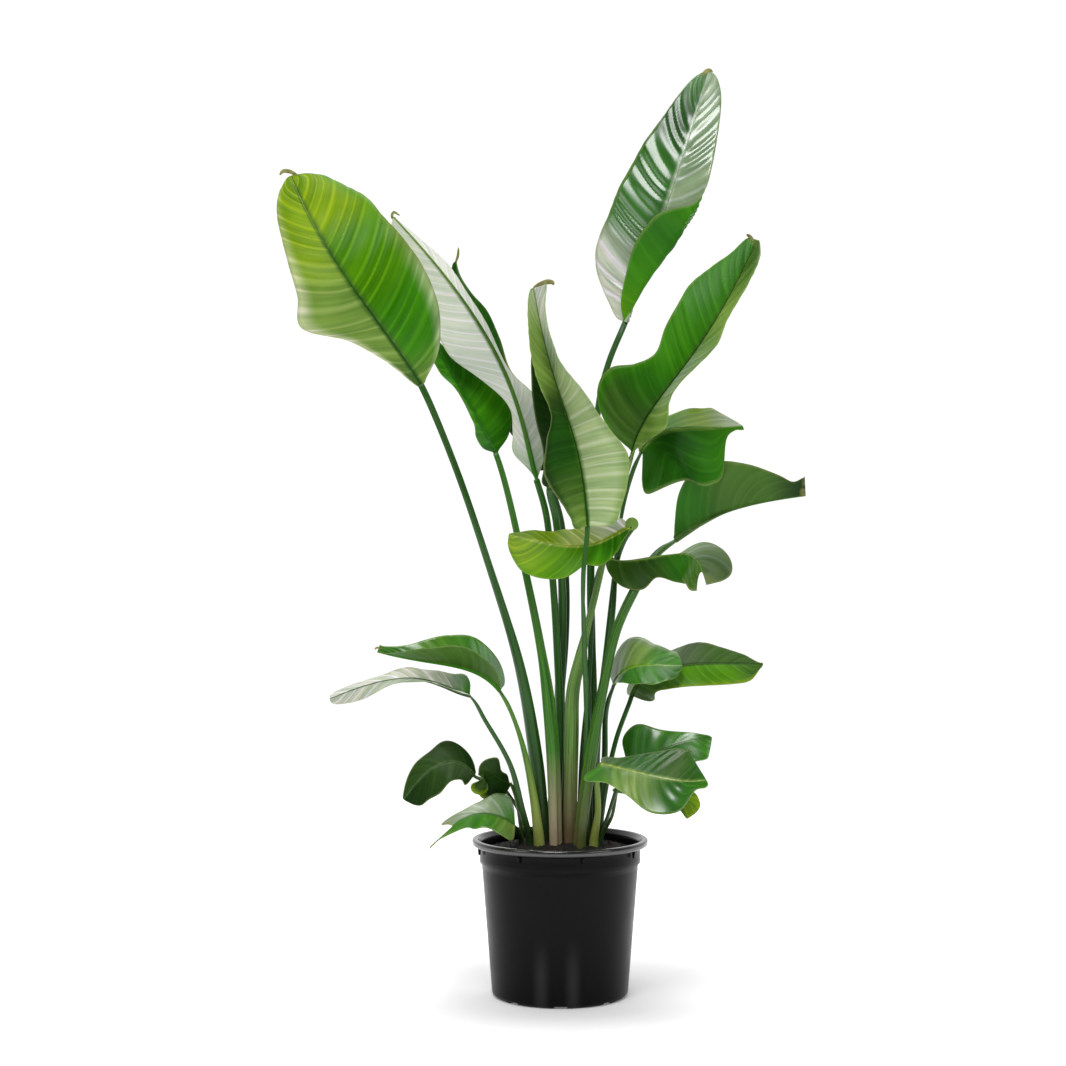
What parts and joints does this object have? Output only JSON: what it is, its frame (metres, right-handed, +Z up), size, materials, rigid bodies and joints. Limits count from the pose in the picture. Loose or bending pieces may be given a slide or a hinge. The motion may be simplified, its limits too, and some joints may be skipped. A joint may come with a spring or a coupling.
{
  "type": "potted foliage plant",
  "caption": "Tall clump of long-stalked, paddle-shaped pleated leaves standing in a round black nursery pot.",
  "frame": {"origin": "centre of the pot's flat underside", "axes": "+Z up; -Y towards the front of the picture, with +X to the right as seen from there"},
  "size_m": [0.7645, 0.2835, 1.3666],
  "materials": {
    "pot_plastic": "satin black",
    "potting_soil": "crumbly",
    "leaf_stalk": "smooth, waxy",
    "leaf_young": "pleated, glossy above and matt below",
    "leaf_bright": "pleated, glossy above and matt below",
    "leaf_pleated": "pleated, glossy above and matt below",
    "leaf_glossy": "pleated, glossy above and matt below",
    "leaf_silver": "pleated, glossy above and matt below",
    "leaf_deep": "pleated, glossy above and matt below",
    "leaf_dark": "pleated, glossy above and matt below"
  },
  "bodies": {
    "root": {"pot": "pot_plastic", "soil": "potting_soil", "stalk_broad_left": "leaf_stalk", "blade_broad_left": "leaf_young", "stalk_wavy_left": "leaf_stalk", "blade_wavy_left": "leaf_deep", "stalk_silver_left": "leaf_stalk", "blade_silver_left": "leaf_silver", "stalk_dark_left": "leaf_stalk", "blade_dark_left": "leaf_dark", "stalk_folded_centre": "leaf_stalk", "blade_folded_centre": "leaf_pleated", "stalk_hidden_centre": "leaf_stalk", "blade_hidden_centre": "leaf_dark", "stalk_tall_right": "leaf_stalk", "blade_tall_right": "leaf_glossy", "stalk_long_right": "leaf_stalk", "blade_long_right": "leaf_glossy", "stalk_hooded_right": "leaf_stalk", "blade_hooded_right": "leaf_deep", "stalk_arched_right": "leaf_stalk", "blade_arched_right": "leaf_dark", "stalk_bright_boat": "leaf_stalk", "blade_bright_boat": "leaf_bright", "stalk_split_right": "leaf_stalk", "blade_split_right": "leaf_dark", "stalk_low_left_upper": "leaf_stalk", "blade_low_left_upper": "leaf_glossy", "stalk_low_left_lower": "leaf_stalk", "blade_low_left_lower": "leaf_dark", "stalk_round_left": "leaf_stalk", "blade_round_left": "leaf_dark", "stalk_curled_left": "leaf_stalk", "blade_curled_left": "leaf_young", "stalk_forked_left": "leaf_stalk", "blade_forked_left": "leaf_glossy", "stalk_shiny_right": "leaf_stalk", "blade_shiny_right": "leaf_glossy", "stalk_flat_right": "leaf_stalk", "blade_flat_right": "leaf_deep", "stalk_lobed_right": "leaf_stalk", "blade_lobed_right": "leaf_glossy", "stalk_glossy_right": "leaf_stalk", "blade_glossy_right": "leaf_glossy", "stalk_small_right": "leaf_stalk", "blade_small_right": "leaf_young"}
  },
  "joints": []
}
